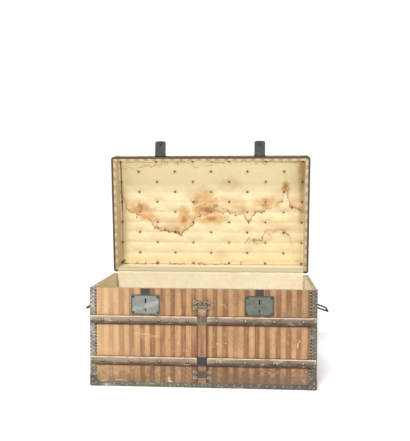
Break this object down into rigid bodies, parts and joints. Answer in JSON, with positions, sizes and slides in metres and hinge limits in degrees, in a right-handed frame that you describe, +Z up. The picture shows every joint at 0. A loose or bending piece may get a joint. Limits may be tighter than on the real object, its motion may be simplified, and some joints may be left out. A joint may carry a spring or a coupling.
{
  "type": "dome top trunk",
  "caption": "Striped canvas trunk with a low arched roof, iron corners, hardwood slats, a centre strap, hasp locks, bail handles and a quilted lid lining, shown open.",
  "frame": {"origin": "on the floor, under the middle of the body, at the underside of the middle batten", "axes": "+Z up, -Y towards the front with the locks, +X to the right as seen from the front"},
  "size_m": [1.0286, 0.6726, 1.0053],
  "materials": {
    "board": "bare softwood boards, dry and slightly grey",
    "batten": "rough sawn hardwood, dusty",
    "stripe_canvas": "woven canvas with honey and brown upright stripes, varnished and scuffed",
    "rim_tape": "plain brown canvas tape, worn",
    "cream_lining": "cream cotton lining, yellowed and stained",
    "quilt": "padded cream cotton, puckered between tacks, water stained",
    "stave": "thin planed boards, inside the roof",
    "slat_wood": "grey brown hardwood with worn pale edges",
    "edging_iron": "sheet iron, mottled grey, dull",
    "cap_iron": "dark pressed iron corner caps, worn at the edges",
    "binding_iron": "dark brown japanned iron, rubbed",
    "nail_iron": "dark domed nail heads",
    "strap_leather": "orange brown bridle leather, cracked and dark at the edges",
    "plate_iron": "grey green cast iron, worn bright on the ridges",
    "keeper_iron": "blue black iron strap keepers",
    "lock_plate": "grey green pressed steel with a paler rubbed band",
    "lock_works": "oiled dark iron case",
    "bolt_steel": "bare filed steel",
    "rivet_iron": "rivet heads, rubbed bright",
    "tab_iron": "dark sheet iron tabs",
    "hinge_iron": "black iron hinge leaves",
    "pin_steel": "bare steel pins",
    "hasp_iron": "grey green steel, dark at the border",
    "handle_iron": "round black iron bar, hand worn",
    "gusset_cloth": "whitish grey cotton tape over the hinge line",
    "tack_metal": "dull brass tack heads"
  },
  "bodies": {
    "body": {"bottom_board": "board", "bottom_battens": "batten", "front_board": "board", "back_board": "board", "left_board": "board", "right_board": "board", "front_canvas": "stripe_canvas", "back_canvas": "stripe_canvas", "left_canvas": "stripe_canvas", "right_canvas": "stripe_canvas", "wall_lining": "cream_lining", "floor_lining": "cream_lining", "rim_tape": "rim_tape", "bottom_corner_caps": "cap_iron", "corner_edging": "edging_iron", "bottom_edging": "edging_iron", "front_slats": "slat_wood", "back_slats": "slat_wood", "slat_nails": "nail_iron", "centre_strap": "strap_leather", "upper_strap_keeper": "plate_iron", "lower_strap_keeper": "keeper_iron", "upper_strap_plate": "plate_iron", "lower_strap_plate": "plate_iron", "left_lock_plate": "lock_plate", "left_lock_case": "lock_works", "right_lock_plate": "lock_plate", "right_lock_case": "lock_works", "lock_rivets": "rivet_iron", "lock_rim_tabs": "tab_iron", "hinge_body_leaves": "hinge_iron", "hinge_pins": "pin_steel", "hinge_cloth_body": "gusset_cloth", "handle_plates": "handle_iron"},
    "lid": {"hinge_lid_leaves": "hinge_iron", "hinge_cloth_lid": "gusset_cloth", "lid_front_board": "board", "lid_back_board": "board", "lid_left_board": "board", "lid_right_board": "board", "roof_staves": "stave", "lid_end_canvas": "stripe_canvas", "lid_canvas": "stripe_canvas", "lid_rim_tape": "rim_tape", "lid_rim_binding": "binding_iron", "lid_edging": "edging_iron", "roof_slats": "slat_wood", "roof_slat_nails": "nail_iron", "lid_wall_lining": "cream_lining", "ceiling_pad": "quilt", "lining_tacks": "tack_metal", "hasp_leaves": "hasp_iron", "hasp_pins": "pin_steel"},
    "left_lock_bolt": {"left_lock_bolt": "bolt_steel"},
    "right_lock_bolt": {"right_lock_bolt": "bolt_steel"},
    "left_handle": {"left_handle": "handle_iron"},
    "right_handle": {"right_handle": "handle_iron"},
    "left_hasp": {"left_hasp": "hasp_iron"},
    "right_hasp": {"right_hasp": "hasp_iron"}
  },
  "joints": [
    {"name": "lid_hinge", "type": "hinge", "parent": "body", "child": "lid", "pos_m": [0, 0.2725, 0.3964], "axis": [1, 0, 0], "range_deg": [0, 84]},
    {"name": "left_hasp_pin", "type": "hinge", "parent": "lid", "child": "left_hasp", "pos_m": [-0.225, 0.22296, 0.93849], "axis": [1, 0, 0], "range_deg": [0, 104]},
    {"name": "right_hasp_pin", "type": "hinge", "parent": "lid", "child": "right_hasp", "pos_m": [0.225, 0.22296, 0.93849], "axis": [1, 0, 0], "range_deg": [0, 104]},
    {"name": "left_handle_swing", "type": "hinge", "parent": "body", "child": "left_handle", "pos_m": [-0.46, 0, 0.298], "axis": [0, -1, 0], "range_deg": [-110, 70]},
    {"name": "right_handle_swing", "type": "hinge", "parent": "body", "child": "right_handle", "pos_m": [0.46, 0, 0.298], "axis": [0, 1, 0], "range_deg": [-110, 70]},
    {"name": "left_bolt_slide", "type": "slide", "parent": "body", "child": "left_lock_bolt", "axis": [1, 0, 0], "range_m": [-0.0095, 0], "stiffness_N_per_m": 300, "springref_m": 0.004},
    {"name": "right_bolt_slide", "type": "slide", "parent": "body", "child": "right_lock_bolt", "axis": [1, 0, 0], "range_m": [-0.0095, 0], "stiffness_N_per_m": 300, "springref_m": 0.004}
  ]
}
